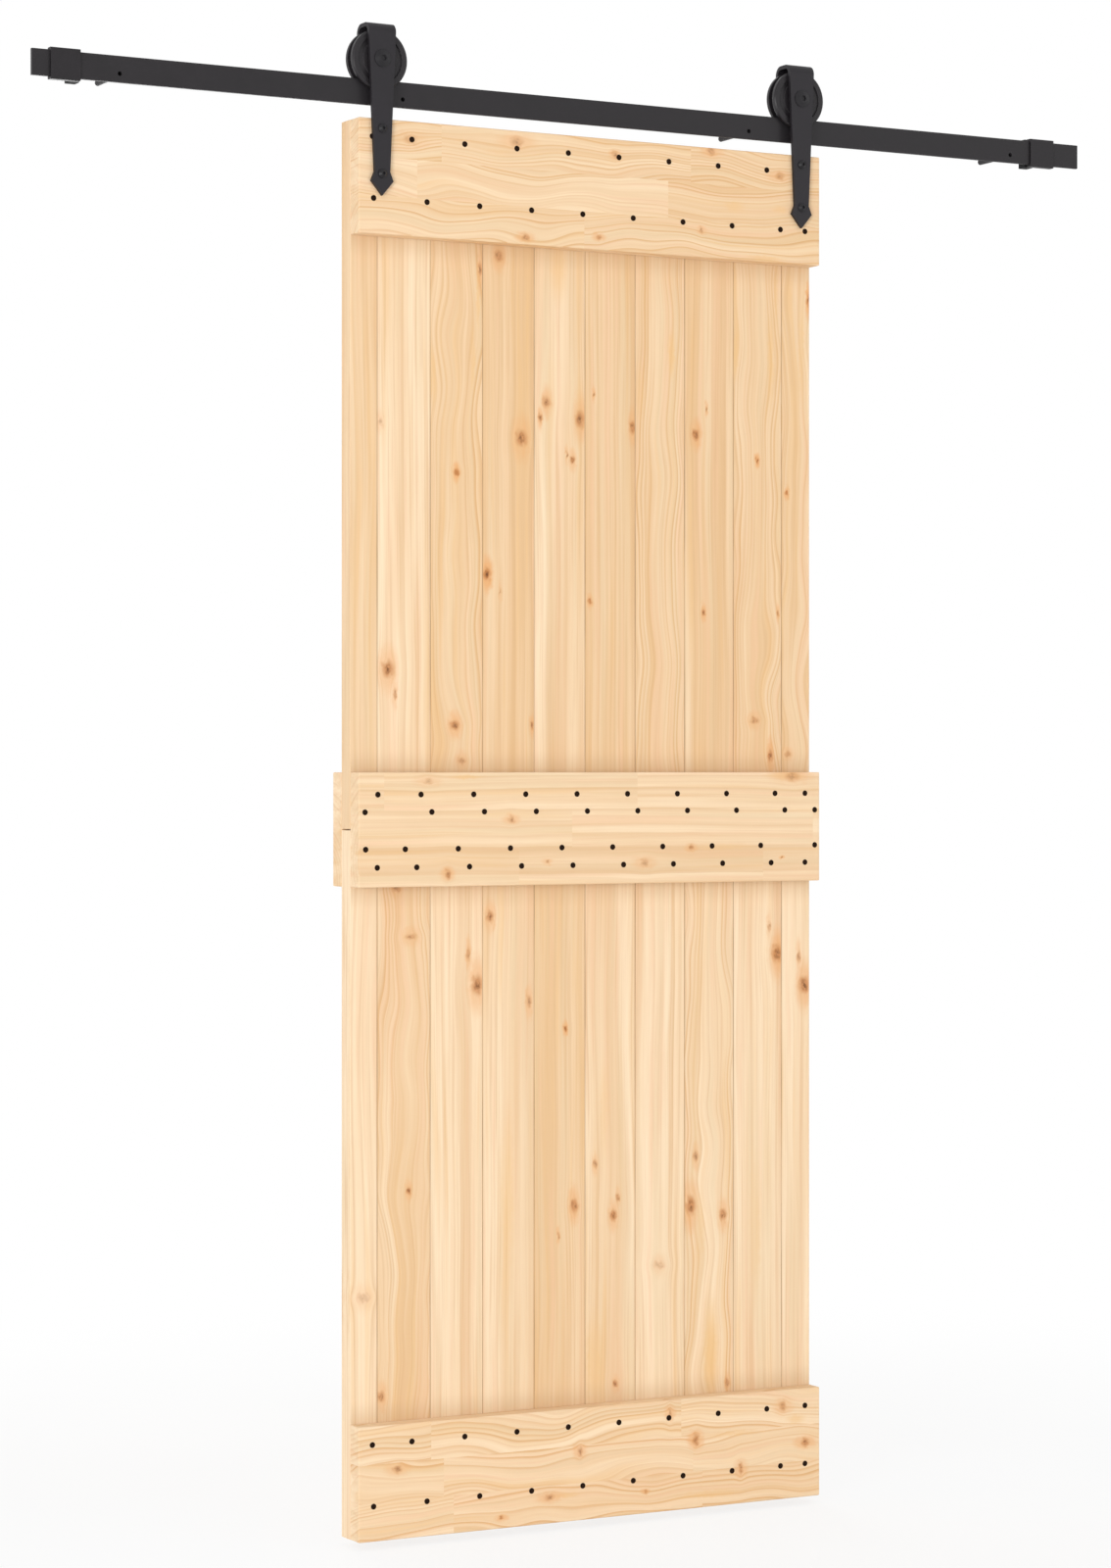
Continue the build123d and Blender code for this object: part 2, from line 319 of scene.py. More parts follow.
# Knots picked in the photo: pixel column and row, half width and half height in mm, and how dark
PICKED_KNOTS = {
    "upper_plank_02": [(396, 683, 9, 12, 0.8), (403, 708, 3, 8, 0.6), (388, 430, 4, 6, 0.3)],
    "upper_plank_03": [(466, 482, 4, 5, 1.0), (464, 740, 8, 7, 0.7), (490.1, 275.3, 3, 11, 0.6)],
    "upper_plank_04": [
        (497, 586, 6, 9, 1.0), (532, 447, 9, 12, 0.75), (510.5, 604, 2, 5, 0.4),
        (543, 740, 3, 6, 0.6), (509.2, 260.8, 7, 8, 0.7),
    ],
    "upper_plank_05": [
        (592, 428, 8, 12, 0.7), (584.5, 469.5, 4, 6, 0.8), (557.5, 410.5, 6, 8, 0.6),
        (551.5, 426, 3, 6, 0.7), (578.5, 464, 2, 5, 0.6),
    ],
    "upper_plank_06": [(645.6, 435.8, 5, 10, 0.7), (602, 613, 3, 4, 0.9), (605.8, 402.6, 2, 4, 0.6)],
    "upper_plank_08": [(710.2, 443.3, 6, 8, 0.8), (718, 625, 3, 5, 0.8), (721, 417.5, 2, 4, 0.6)],
    "upper_plank_09": [(773, 470, 3, 4, 1.0), (770, 735, 8, 5, 0.5), (786.3, 771.7, 4, 10, 0.8)],
    "upper_plank_10": [(803, 503, 3, 4, 1.0), (824.7, 306.4, 3, 10, 0.9), (795.6, 273.3, 3, 9, 0.7)],
    "lower_plank_02": [(417, 1215, 4, 5, 0.8), (389, 1425, 6, 8, 0.6)],
    "lower_plank_03": [(487, 1005, 9, 14, 0.8)],
    "lower_plank_04": [(500, 935, 6, 8, 0.7), (540, 1022, 4, 9, 0.5)],
    "lower_plank_05": [(577, 1049, 3, 4, 1.0), (586, 1230, 6, 10, 0.7)],
    "lower_plank_06": [(626, 1240, 6, 8, 0.8), (627.9, 1412, 4, 5, 0.7)],
    "lower_plank_07": [(672.8, 1290.8, 9, 6, 0.25)],
    "lower_plank_08": [(704.8, 1230, 8, 14, 0.8), (742.4, 1411.3, 3, 6, 0.7), (738, 1240, 6, 9, 0.7)],
    "lower_plank_09": [(793, 973, 9, 13, 0.8)],
    "lower_plank_10": [(821, 1005, 9, 13, 0.8)],
    "top_board": [
        (419, 142, 10, 7, 0.3), (536, 242, 6, 5, 0.6), (628, 158, 4, 5, 0.5),
        (796, 180, 8, 6, 0.4), (611, 242, 4, 4, 0.6), (716, 235, 3, 4, 0.5),
        (527.5, 145, 11, 8, 0.4), (726, 154, 7, 6, 0.5),
    ],
    "middle_board": [
        (437, 797, 8, 5, 0.3), (522, 836, 5, 5, 0.5), (457, 892, 4, 7, 0.6),
        (559, 879, 3, 3, 0.5), (705.4, 864.7, 4, 4, 0.6), (658, 880.2, 7, 6, 0.4),
        (798, 874.7, 2, 2, 0.8), (808.7, 792.4, 12, 7, 0.4),
    ],
    "bottom_board": [
        (406, 1499, 7, 6, 0.5), (592, 1481, 4, 8, 0.5), (561, 1528, 8, 5, 0.5),
        (710.5, 1469, 5, 9, 0.7), (683.9, 1442.3, 3, 8, 0.5), (799.2, 1434.6, 6, 8, 0.5),
        (821.6, 1471.6, 7, 6, 0.7), (756.2, 1498.3, 4, 9, 0.6), (658.9, 1521.9, 3, 3, 0.5),
        (512, 1549, 4, 3, 0.7),
    ],
}

# Knots given by place: from the leaf's left edge and up from its foot in mm, then the same terms
PLACED_KNOTS = {
    "upper_plank_03": [(185, 1152, 6, 5, 0.5)],
    "upper_plank_09": [(742, 1384, 2, 5, 0.6)],
    "upper_plank_10": [(760, 1163, 6, 4, 0.5)],
    "lower_plank_01": [(22, 356, 11, 7, 0.25)],
    "lower_plank_02": [(76, 962, 6, 5, 0.6), (100, 890, 9, 5, 0.5)],
    "lower_plank_03": [(196, 862, 3, 9, 0.5)],
    "lower_plank_05": [(350, 430, 2, 5, 0.5)],
    "lower_plank_06": [(454, 482, 3, 6, 0.6), (414, 536, 3, 6, 0.5)],
    "lower_plank_08": [(592, 540, 4, 8, 0.5)],
    "lower_plank_09": [(726, 893, 3, 8, 0.5)],
    "lower_plank_10": [(780, 845, 3, 9, 0.5)],
    "back_board": [(240, 1060, 9, 6, 0.6), (590, 1000, 7, 5, 0.6)],
}

# Streaks of resin and honey wood, picked and placed in the same ways
PICKED_STREAKS = {
    "upper_plank_03": [(441.9, 382.5, 6, 46, 0.5), (482.5, 364, 5, 60, 0.5)],
    "upper_plank_05": [(569.7, 269, 16, 60, 0.6)],
    "upper_plank_07": [(685.4, 361.2, 7, 38, 0.8), (653, 401, 8, 50, 0.4)],
    "upper_plank_09": [(786.5, 366, 6, 70, 0.6), (750.9, 359.5, 6, 46, 0.6)],
    "lower_plank_08": [(726, 1382, 16, 90, 0.8)],
    "top_board": [(510, 155, 26, 5, 0.5), (749, 211, 20, 9, 0.5), (796, 214, 16, 6, 0.5)],
    "middle_board": [(476, 793, 30, 4, 0.6)],
    "bottom_board": [(812, 1447.5, 18, 8, 0.6)],
}

PLACED_STREAKS = {
    "upper_plank_03": [(213, 1850, 4, 50, 0.6)],
    "upper_plank_05": [(387, 1700, 10, 40, 0.5)],
    "upper_plank_09": [(738, 1890, 4, 60, 0.6)],
    "upper_plank_10": [(785, 1800, 6, 90, 0.6), (762, 1880, 6, 50, 0.4)],
    "lower_plank_04": [(262, 500, 12, 140, 0.5)],
    "lower_plank_06": [(413, 230, 16, 80, 0.8), (430, 620, 9, 80, 0.4)],
    "lower_plank_08": [(600, 420, 10, 70, 0.5)],
    "lower_plank_09": [(700, 420, 12, 120, 0.5)],
    "top_board": [(700, 1935, 36, 5, 0.6)],
    "middle_board": [(620, 1020, 60, 6, 0.4), (740, 1130, 40, 8, 0.6)],
    "bottom_board": [(345, 40, 26, 5, 0.5), (640, 110, 60, 5, 0.5), (600, 20, 60, 6, 0.5)],
}

# Boards whose rings show as wavy figure
FIGURED = {
    "upper_plank_03", "upper_plank_07", "upper_plank_09", "upper_plank_10",
    "lower_plank_02", "lower_plank_08", "top_board", "bottom_board",
}

# Tone of each board, from 0 for the warm wood to 1 for the pale
TONES = {
    "upper_plank_01": 0.33, "upper_plank_02": 0.88, "upper_plank_03": 0.30, "upper_plank_04": 0.30,
    "upper_plank_05": 0.55, "upper_plank_06": 0.28, "upper_plank_07": 0.36, "upper_plank_08": 0.28,
    "upper_plank_09": 0.40, "upper_plank_10": 0.38, "lower_plank_01": 0.95, "lower_plank_02": 0.34,
    "lower_plank_03": 0.87, "lower_plank_04": 0.68, "lower_plank_05": 0.24, "lower_plank_06": 0.62,
    "lower_plank_07": 0.92, "lower_plank_08": 0.66, "lower_plank_09": 0.88, "lower_plank_10": 0.86,
    "top_board": 0.55, "middle_board": 0.65, "bottom_board": 0.68, "back_board": 0.55,
}


class Timber:
    """A board's measures, the marks on it and its own random draws, across, through and along its grain."""

    def __init__(self, name):
        self.name = name
        self.low, self.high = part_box(name)
        self.middle = (self.low + self.high) / 2
        self.upright = name in PLANK_NAMES
        self.figured = name in FIGURED
        size = self.high - self.low
        self.half_width = (size.x if self.upright else size.z) / 2
        draw = random.Random(name)
        self.start = draw.uniform(*NOISE_START)
        self.wander = draw.uniform(*(FIGURED_WANDER if self.figured else GRAIN_WANDER))
        self.pith_across = draw.uniform(*PITH_ACROSS) * self.half_width
        self.pith_depth = draw.choice((-1, 1)) * draw.uniform(*PITH_DEPTH)
        self.spacing = (FIGURED_SPACING if self.figured else RING_SPACING) * draw.uniform(*SPACING_SPREAD)

    def axes(self, graph):
        """Places across and through the board from its middle, and along it."""
        x, y, z = graph.separate(graph.position())
        depth = graph.minus(y, self.middle.y)
        if self.upright:
            return graph.minus(x, self.middle.x), depth, z
        return graph.minus(z, self.middle.z), depth, x

    def mark(self, x, z, half_width, half_height, weight):
        """A mark of the leaf's front turned to across, along, half sizes and weight."""
        if self.upright:
            return x - self.middle.x, z, half_width * MM, half_height * MM, weight
        return z - self.middle.z, x, half_height * MM, half_width * MM, weight

    def marks(self, picked, placed):
        """All of this board's marks: those picked in the photo, then those given by place."""
        found = []
        for column, row, *terms in picked.get(self.name, []):
            found.append(self.mark(*on_face(column, row, self.low.y), *terms))
        for from_left, up, *terms in placed.get(self.name, []):
            found.append(self.mark(LEAF_LEFT + from_left * MM, LEAF_BOTTOM + up * MM, *terms))
        return found


def noise_at(graph, place, scales, shift=0.0, detail=NOISE_DETAIL):
    """Noise with its own scale each way."""
    across, depth, along = (graph.times(part, scale) for part, scale in zip(place, scales))
    return graph.noise(graph.combine(graph.add(across, shift), depth, along), detail)


def noise_along(graph, grain, noise, detail=NOISE_DETAIL):
    """Noise drawn out along the grain, which is its flow across, its depth, its length and its shift."""
    flow, depth, along, shift = grain
    across_scale, along_scale, start = noise
    place = graph.combine(
        graph.add(graph.times(flow, across_scale), shift),
        graph.add(graph.times(depth, across_scale * DEPTH_PER_ACROSS), start),
        graph.times(along, along_scale),
    )
    return graph.noise(place, detail)


def from_mark(graph, across, along, mark):
    """How far a place is from a mark's middle, across and along, in the mark's half sizes."""
    mark_across, mark_along, half_across, half_along, _ = mark
    dx = graph.over(graph.minus(across, mark_across), half_across)
    dz = graph.over(graph.minus(along, mark_along), half_along)
    return dx, dz


def push_aside(graph, across, along, knots):
    """The grain's place across the board, pushed aside by the knots."""
    pushed = across
    for knot_across, knot_along, half_across, half_along, _ in knots:
        dx = graph.minus(across, knot_across)
        dz = graph.times(graph.minus(along, knot_along), half_across / half_along)
        square = graph.add(graph.times(dx, dx), graph.times(dz, dz))
        spread = graph.over((KNOT_PUSH * half_across) ** 2, graph.add(square, half_across**2))
        pushed = graph.minus(pushed, graph.times(dx, spread))
    return pushed


def knot_fields(graph, across, along, knots, mottle):
    """How strongly the knots' halo, ring and heart show."""
    halos, rings, hearts = [], [], []
    for knot in knots:
        weight = knot[-1]
        dx, dz = from_mark(graph, across, along, knot)
        distance = graph.length(dx, dz)
        halo_distance = graph.length(dx, graph.times(dz, HALO_ALONG))
        halos.append(graph.smooth(halo_distance, *HALO_EDGE, 0.0, HALO_MOST * weight))
        rings.append(graph.smooth(distance, *KNOT_EDGE, 0.0, weight))
        heart = graph.smooth(distance, *HEART_EDGE, 0.0, weight)
        swirl = graph.smooth(graph.math("SINE", graph.times(distance, KNOT_SWIRL)), *SWIRL_STEP)
        hearts.append(graph.times(graph.times(heart, mottle), swirl))
    return graph.largest(halos), graph.largest(rings), graph.largest(hearts)


def streak_field(graph, across, along, streaks):
    """How strongly the honey streaks show."""
    fields = []
    for streak in streaks:
        distance = graph.length(*from_mark(graph, across, along, streak))
        fields.append(graph.smooth(distance, *STREAK_EDGE, 0.0, streak[-1]))
    return graph.largest(fields)


def stave_lots(graph, timber, across, along):
    """A board's shift of noise and its tone; boards glued up of staves have them for each piece."""
    tone = TONES[timber.name]
    if timber.upright:
        return timber.start, tone
    stave_width = 2 * timber.half_width / STAVES_PER_BOARD
    stave = graph.math("FLOOR", graph.over(graph.add(across, timber.half_width), stave_width))
    start = graph.times(graph.random_per(graph.add(stave, timber.start)), STAVE_LENGTH)
    piece = graph.math("FLOOR", graph.over(graph.add(along, start), STAVE_LENGTH))
    seed = graph.add(graph.times(stave, STAVE_SEED), graph.times(piece, PIECE_SEED), timber.start)
    lot = graph.random_per(seed)
    shift = graph.add(graph.times(lot, STAVE_START), timber.start)
    return shift, graph.add(graph.swing(lot, STAVE_TONE), tone)


def late_wood(graph, timber, flow, depth, broad):
    """How strongly late wood shows: rings round the pith, or lines with the grain of a figured board."""
    if timber.figured:
        reach = graph.add(flow, graph.times(depth, FIGURE_SLANT))
    else:
        reach = graph.length(graph.minus(flow, timber.pith_across), graph.minus(depth, timber.pith_depth))
    rings = graph.times(reach, 1 / timber.spacing)
    lot = graph.random_per(graph.math("FLOOR", rings))
    strength = graph.smooth(lot, *(FIGURE_STEP if timber.figured else RING_STEP))
    share = graph.math("FRACT", rings)
    shape = graph.times(graph.smooth(share, *RING_RISE), graph.smooth(share, *RING_FALL))
    return graph.times(graph.times(shape, strength), graph.smooth(broad, *RING_FADE))


def joint_dust(graph, timber, across, along):
    """How strongly dust shows along each edge that meets another plank."""
    begin = timber.half_width - JOINT_DUST_WIDTH
    patches = graph.noise(graph.combine(timber.start, 0.0, graph.times(along, DUST_NOISE_ALONG)))
    dusts = []
    for side, outermost in ((-1.0, PLANK_NUMBERS[0]), (1.0, PLANK_NUMBERS[-1])):
        if not timber.name.endswith(outermost):
            edge = graph.smooth(graph.times(across, side), begin, begin + JOINT_DUST_FADE)
            dusts.append(graph.times(edge, graph.smooth(patches, *DUST_STEP)))
    return dusts


def corner_shade(graph, height):
    """How strongly the planks' front is shaded beside the edges of the front boards."""
    middle_low, middle_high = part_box("middle_board")
    edges = [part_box("top_board")[0].z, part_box("bottom_board")[1].z, middle_low.z, middle_high.z]
    shades = []
    for edge in edges:
        away = graph.math("ABSOLUTE", graph.minus(height, edge))
        shades.append(graph.smooth(away, CORNER_SHADE_REACH, 0.0, 0.0, CORNER_SHADE_MOST))
    facing = graph.separate(graph.normal())[1]
    return graph.times(graph.largest(shades), graph.smooth(facing, *FRONT_STEP))


def pine(name):
    """One board's pine: bands and fibres along the grain, rings or figure, knots and dusty joints."""
    timber = Timber(name)
    graph = material_graph(f"pine_{name}")
    place = timber.axes(graph)
    across, depth, along = place
    knots = timber.marks(PICKED_KNOTS, PLACED_KNOTS)
    streaks = timber.marks(PICKED_STREAKS, PLACED_STREAKS)
    ragged = graph.swing(noise_at(graph, place, RAGGED_NOISE), KNOT_RAGGEDNESS)
    rough_across = graph.add(across, ragged)
    rough_along = graph.minus(along, graph.times(ragged, RAGGED_ALONG))

    shift, tone = stave_lots(graph, timber, across, along)
    flow = push_aside(graph, across, along, knots)
    wander_scales = FIGURED_WANDER_NOISE if timber.figured else WANDER_NOISE
    wander = noise_at(graph, (flow, depth, along), wander_scales, shift, WANDER_DETAIL)
    flow = graph.add(flow, graph.swing(wander, 2 * timber.wander))

    grain = (flow, depth, along, shift)
    broad = noise_along(graph, grain, BROAD_NOISE)
    bands = noise_along(graph, grain, BAND_NOISE)
    hue = noise_along(graph, grain, HUE_NOISE)
    grey = noise_along(graph, grain, GREY_NOISE)
    lines = noise_along(graph, grain, LINE_NOISE, FINE_DETAIL)
    fibre = noise_along(graph, grain, FIBRE_NOISE, FINE_DETAIL)
    late = late_wood(graph, timber, flow, depth, broad)

    tints = [
        (graph.smooth(hue, *PINK_STEP), PINK_BAND),
        (graph.smooth(hue, *HONEY_STEP), HONEY_BAND),
        (graph.smooth(grey, *GREY_STEP), GREY_BAND),
        (late, FIGURE_LINE if timber.figured else LATE_WOOD),
        (graph.smooth(lines, *(PLANK_LINE_STEP if timber.upright else BOARD_LINE_STEP)), LATE_WOOD),
        (graph.smooth(fibre, *FIBRE_STEP), LATE_WOOD),
    ]
    if streaks:
        streak = streak_field(graph, rough_across, along, streaks)
        tints.append((graph.times(streak, graph.smooth(bands, *STREAK_STEP)), HONEY_BAND))
    if knots:
        mottle = graph.smooth(noise_at(graph, place, MOTTLE_NOISE), *MOTTLE_STEP)
        halo, ring, heart = knot_fields(graph, rough_across, rough_along, knots, mottle)
        halo = graph.times(halo, graph.smooth(bands, *HALO_STEP))
        tints += [(halo, KNOT_HALO), (ring, KNOT_RING), (heart, KNOT_HEART)]
    if timber.upright:
        tints += [(dust, JOINT_DUST) for dust in joint_dust(graph, timber, across, along)]
        tints.append((corner_shade(graph, along), CORNER_SHADE))

    level = graph.add(graph.swing(broad, BROAD_CONTRAST), graph.swing(bands, BAND_CONTRAST))
    colour = graph.mix(graph.math("ADD", level, tone, clamp=True), WARM_WOOD, PALE_WOOD)
    for share, tint in tints:
        colour = graph.mix(share, colour, tint)
    roughness = graph.smooth(graph.add(fibre, late), *WOOD_ROUGHNESS_STEP)
    height = graph.add(graph.times(fibre, FIBRE_HEIGHT), graph.times(late, LATE_WOOD_HEIGHT))
    normal = graph.bump(height, GRAIN_BUMP_STRENGTH, GRAIN_BUMP)
    return graph.surface(graph.principled(colour, roughness, normal, WOOD_SHINE))


# Black metal and rubber

# Paints: colour, roughness, pimples a metre and width of the rounded edges, painted lighter as rubbed wear
# and as a painted highlight
PAINTS = {
    "track_steel": ((0.017, 0.015, 0.017), 0.50, 1500.0, 0.7 * MM),
    "stop_steel": ((0.014, 0.012, 0.014), 0.46, 1500.0, 0.7 * MM),
    "strap_steel": ((0.017, 0.015, 0.018), 0.52, 1500.0, 0.7 * MM),
    "wheel_steel": ((0.016, 0.014, 0.016), 0.38, 2200.0, 1.6 * MM),
    "bolt_steel": ((0.012, 0.011, 0.013), 0.42, 2200.0, 0.7 * MM),
}
CLOUD_SCALE = 22.0
CLOUD_STEP = (0.30, 0.70, 0.0, 0.5)
CLOUD_LIGHTER = 1.5
# Rounded edges painted lighter: partly rubbed wear, partly a painted highlight
RUBBED_AND_HIGHLIGHT_LIGHTER = 2.2
RUBBED_AND_HIGHLIGHT_LIFT = 0.01
RUBBED_AND_HIGHLIGHT_TURN = (0.995, 0.9)
RUBBED_AND_HIGHLIGHT_STEP = (0.30, 0.65, 0.2, 0.8)
PAINT_ROUGHNESS_RANGE = (0.25, 0.75)
PAINT_ROUGHNESS_SWING = 0.06
PIMPLE_BUMP = 0.15 * MM
PIMPLE_BUMP_STRENGTH = 0.18
PAINT_SHINE = 0.27
BEVEL_SAMPLES = 4

RUBBER_DARK = (0.010, 0.010, 0.011)
RUBBER_CHALK = (0.026, 0.025, 0.025)
RUBBER_GRAIN_SCALE = 900.0
RUBBER_CHALK_SCALE = 70.0
RUBBER_CHALK_STEP = (0.35, 0.75, 0.0, 0.6)
RUBBER_ROUGHNESS_STEP = (0.30, 0.70, 0.72, 0.88)
RUBBER_BUMP = 0.2 * MM
RUBBER_BUMP_STRENGTH = 0.3
RUBBER_SHINE = 0.25

IRON_DARK = (0.010, 0.005, 0.003)
IRON_RUST = (0.045, 0.018, 0.007)
IRON_SPECK_SCALE = 700.0
IRON_SPECK_STEP = (0.45, 0.75)
IRON_ROUGHNESS_STEP = (0.30, 0.70, 0.65, 0.85)
IRON_BUMP = 0.2 * MM
IRON_BUMP_STRENGTH = 0.4
IRON_SHINE = 0.08


def black_paint(name, colour, roughness, grain_scale, edge_width):
    """Powder coat: fine pimples, faint cloudiness and edges painted a little lighter, partly as rubbed wear
    and partly as a painted highlight.
    """
    graph = material_graph(name)
    place = graph.position()
    pimples = graph.noise(place, scale=grain_scale)
    clouds = graph.noise(place, FINE_DETAIL, CLOUD_SCALE)
    bevel = graph.node("ShaderNodeBevel", samples=BEVEL_SAMPLES)
    graph.link(edge_width, bevel.inputs["Radius"])
    rounded = bevel.outputs[0]
    turn = graph.node("ShaderNodeVectorMath", operation="DOT_PRODUCT")
    graph.link(rounded, turn.inputs[0])
    graph.link(graph.normal(), turn.inputs[1])
    # Mask of the rounded edges that are painted lighter, partly as rubbed wear and partly as a painted
    # highlight
    edge = graph.smooth(turn.outputs["Value"], *RUBBED_AND_HIGHLIGHT_TURN)
    cloudy = tuple(CLOUD_LIGHTER * part for part in colour)
    rubbed_and_highlight = tuple(RUBBED_AND_HIGHLIGHT_LIGHTER * part + RUBBED_AND_HIGHLIGHT_LIFT for part in colour)
    shade = graph.mix(graph.smooth(clouds, *CLOUD_STEP), colour, cloudy)
    shade = graph.mix(graph.times(edge, graph.smooth(clouds, *RUBBED_AND_HIGHLIGHT_STEP)), shade, rubbed_and_highlight)
    roughness_range = (roughness - PAINT_ROUGHNESS_SWING, roughness + PAINT_ROUGHNESS_SWING)
    rough = graph.smooth(clouds, *PAINT_ROUGHNESS_RANGE, *roughness_range)
    normal = graph.bump(pimples, PIMPLE_BUMP_STRENGTH, PIMPLE_BUMP, rounded)
    return graph.surface(graph.principled(shade, rough, normal, PAINT_SHINE))


def rubber():
    """Matte rubber with a fine moulded grain."""
    graph = material_graph("buffer_rubber")
    place = graph.position()
    grain = graph.noise(place, FINE_DETAIL, RUBBER_GRAIN_SCALE)
    chalk = graph.noise(place, scale=RUBBER_CHALK_SCALE)
    colour = graph.mix(graph.smooth(chalk, *RUBBER_CHALK_STEP), RUBBER_DARK, RUBBER_CHALK)
    rough = graph.smooth(chalk, *RUBBER_ROUGHNESS_STEP)
    normal = graph.bump(grain, RUBBER_BUMP_STRENGTH, RUBBER_BUMP)
    return graph.surface(graph.principled(colour, rough, normal, RUBBER_SHINE))


def nail_iron():
    """Dark oxidised iron with rusty specks."""
    graph = material_graph("nail_iron")
    specks = graph.noise(graph.position(), FINE_DETAIL, IRON_SPECK_SCALE)
    colour = graph.mix(graph.smooth(specks, *IRON_SPECK_STEP), IRON_DARK, IRON_RUST)
    rough = graph.smooth(specks, *IRON_ROUGHNESS_STEP)
    normal = graph.bump(specks, IRON_BUMP_STRENGTH, IRON_BUMP)
    return graph.surface(graph.principled(colour, rough, normal, IRON_SHINE))


def dress(node, material):
    """Give a CAD node its material."""
    mesh = frame["nodes"][node].data
    mesh.materials.clear()
    mesh.materials.append(material)


def dress_frame():
    """Materials for every CAD node."""
    for name in PLANK_NAMES + BOARD_NAMES:
        dress(name, pine(name))
    coats = {name: black_paint(name, *terms) for name, terms in PAINTS.items()}
    coats["buffer_rubber"] = rubber()
    for part in frame["record"]["subparts"]:
        if part["material_slot"] in coats:
            dress(part["node"], coats[part["material_slot"]])


# Nails

NAIL_RADIUS = 4.4 * MM
NAIL_PROUD = 0.5 * MM
NAIL_SIDES = 16

# Outline of a nail's head from its rim to its top, in shares of its radius and of how proud it is
NAIL_PROFILE = [(1.0, 0.0), (1.0, 0.45), (0.82, 0.85), (0.5, 1.0)]

# Rows of nails in mm: height above the board's middle, first nail, start of the run, last nail
OUTER_ROWS = [(58, 22, 87, 773), (-33, 24, 112, 773)]
MIDDLE_ROWS = [(52, 31, 102, 773), (26, 10, 120, 791), (-29, 11, 76, 791), (-56, 30, 95, 773)]
NAILED_BOARDS = {"top_board": OUTER_ROWS, "middle_board": MIDDLE_ROWS, "bottom_board": OUTER_ROWS}
RUN_NAILS = 8


def nail_places():
    """Every nail's place on the front boards as (x, z): each run has one nail a plank."""
    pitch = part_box("upper_plank_05")[0].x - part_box("upper_plank_04")[0].x
    places = []
    for board, rows in NAILED_BOARDS.items():
        low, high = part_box(board)
        middle = (low.z + high.z) / 2
        for above, first, run_start, last in rows:
            along = [first * MM, last * MM]
            along += [run_start * MM + pitch * number for number in range(RUN_NAILS)]
            places += [(LEAF_LEFT + item, middle + above * MM) for item in along]
    return places


def add_nail(mesh, x, z):
    """A flat round head with a rounded rim, seated on the board's face."""
    rings = []
    for share, proud in NAIL_PROFILE:
        radius = share * NAIL_RADIUS
        y = BOARD_FACE - proud * NAIL_PROUD
        ring = []
        for number in range(NAIL_SIDES):
            angle = 2 * math.pi * number / NAIL_SIDES
            ring.append(mesh.verts.new((x + radius * math.cos(angle), y, z + radius * math.sin(angle))))
        rings.append(ring)
    for outer, inner in zip(rings, rings[1:]):
        for number in range(NAIL_SIDES):
            following = (number + 1) % NAIL_SIDES
            mesh.faces.new((outer[number], outer[following], inner[following], inner[number]))
    mesh.faces.new(rings[-1])
    mesh.faces.new(reversed(rings[0]))


def make_nails():
    """All nail heads as one joined mesh on the leaf."""
    work = bmesh.new()
    for x, z in nail_places():
        add_nail(work, x, z)
    bmesh.ops.recalc_face_normals(work, faces=work.faces)
    mesh = bpy.data.meshes.new("nail_heads")
    work.to_mesh(mesh)
    work.free()
    for face in mesh.polygons:
        face.use_smooth = True
    mesh.materials.append(nail_iron())
    nails = bpy.data.objects.new("nail_heads", mesh)
    bpy.context.scene.collection.objects.link(nails)
    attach(nails, "door_leaf")


# Stage: pale floor, white surroundings, soft lamps

FLOOR_GAP = 12 * MM
FLOOR_SIZE = 80.0
FLOOR_HEIGHT = LEAF_BOTTOM - FLOOR_GAP
FLOOR_SHADE = (0.88, 0.88, 0.88)
FLOOR_PALE = (0.92, 0.92, 0.92)
FLOOR_CLOUD_SCALE = 1.5
FLOOR_CLOUD_STEP = (0.30, 0.70)
FLOOR_ROUGHNESS = 0.9
FLOOR_FADE = (0.9, 2.6, 0.80, 1.0)
WHITE = (1.0, 1.0, 1.0)
AMBIENT = 0.735
SEEN_BRIGHTNESS = 1.0

# Lamps: place, size and power
LAMPS = {
    "key": ((-5.6, -4.8, -0.8), 2.6, 215.0),
    "fill": ((4.6, -6.4, -0.8), 2.6, 66.0),
    "back": ((1.6, 6.4, -0.3), 3.0, 110.0),
}


def background_share(graph):
    """1 for rays that see the surroundings, directly, in a reflection or through glass."""
    path = graph.node("ShaderNodeLightPath")
    return graph.largest([path.outputs[f"Is {kind} Ray"] for kind in ("Camera", "Glossy", "Transmission")])


def floor_material():
    """Matte white that keeps the soft shadow near the door and fades into the white surroundings."""
    graph = material_graph("floor_white")
    place = graph.position()
    clouds = graph.noise(place, scale=FLOOR_CLOUD_SCALE)
    colour = graph.mix(graph.smooth(clouds, *FLOOR_CLOUD_STEP), FLOOR_SHADE, FLOOR_PALE)
    from_door = graph.node("ShaderNodeVectorMath", operation="DISTANCE")
    graph.link(place, from_door.inputs[0])
    graph.link((LEAF_MIDDLE.x, LEAF_MIDDLE.y, FLOOR_HEIGHT), from_door.inputs[1])
    fade = graph.smooth(from_door.outputs["Value"], *FLOOR_FADE)
    blend = graph.node("ShaderNodeMixShader")
    graph.link(graph.times(background_share(graph), fade), blend.inputs[0])
    graph.link(graph.principled(colour, FLOOR_ROUGHNESS), blend.inputs[1])
    graph.link(graph.node("ShaderNodeEmission").outputs[0], blend.inputs[2])
    return graph.surface(blend.outputs[0])


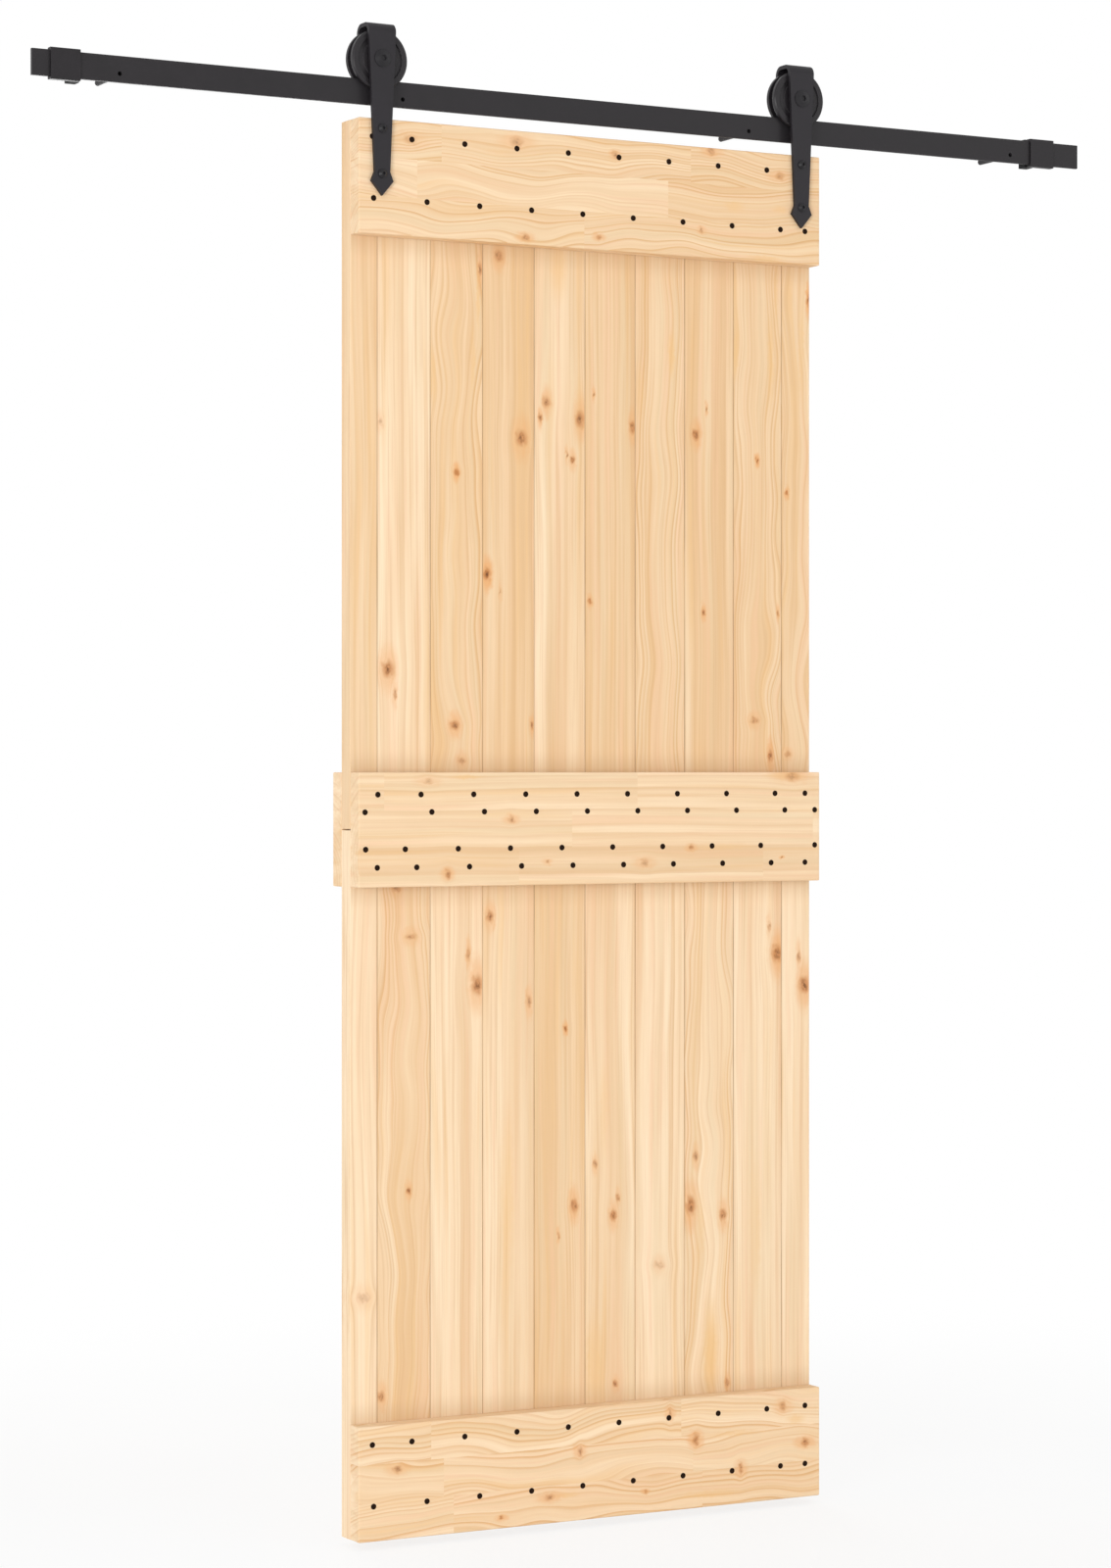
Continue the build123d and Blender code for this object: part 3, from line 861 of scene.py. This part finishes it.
def make_floor():
    """A wide floor just under the leaf."""
    half = FLOOR_SIZE / 2
    outline = [(-half, -half), (half, -half), (half, half), (-half, half)]
    corners = [(x, y, FLOOR_HEIGHT) for x, y in outline]
    mesh = bpy.data.meshes.new("floor")
    mesh.from_pydata(corners, [], [(0, 1, 2, 3)])
    mesh.materials.append(floor_material())
    floor = bpy.data.objects.new("floor", mesh)
    bpy.context.scene.collection.objects.link(floor)


def make_world():
    """White surroundings as seen, and a gentle even light from all sides."""
    world = bpy.data.worlds.new("studio")
    bpy.context.scene.world = world
    graph = Graph(world)
    background = graph.node("ShaderNodeBackground")
    strength = graph.add(graph.times(background_share(graph), SEEN_BRIGHTNESS - AMBIENT), AMBIENT)
    graph.link(WHITE, background.inputs["Color"])
    graph.link(strength, background.inputs["Strength"])
    graph.surface(background.outputs[0], "ShaderNodeOutputWorld")


def make_lamps():
    """Soft square lamps aimed at the leaf: key at the left front, fill at the right front, one behind."""
    for name, (place, size, power) in LAMPS.items():
        lamp = bpy.data.lights.new(name, "AREA")
        lamp.size = size
        lamp.energy = power
        holder = bpy.data.objects.new(name, lamp)
        holder.location = place
        direction = LEAF_MIDDLE - holder.location
        holder.rotation_euler = direction.to_track_quat("-Z", "Y").to_euler()
        bpy.context.scene.collection.objects.link(holder)


# Camera


def make_camera():
    """Level camera at the photo's place, with its focal length and horizon."""
    camera = bpy.data.cameras.new("camera")
    camera.sensor_width = SENSOR
    camera.lens = FOCAL_PIXELS / PHOTO_HEIGHT * SENSOR
    camera.shift_y = (HORIZON_ROW - PHOTO_HEIGHT / 2) / PHOTO_HEIGHT
    camera.clip_end = CAMERA_REACH
    holder = bpy.data.objects.new("camera", camera)
    holder.location = (CAMERA_X, CAMERA_Y, CAMERA_Z)
    holder.rotation_euler = (math.radians(90), 0, -CAMERA_TURN)
    bpy.context.scene.collection.objects.link(holder)
    bpy.context.scene.camera = holder


dress_frame()
make_nails()
make_floor()
make_world()
make_lamps()
make_camera()
bpy.context.scene.view_settings.view_transform = "Standard"
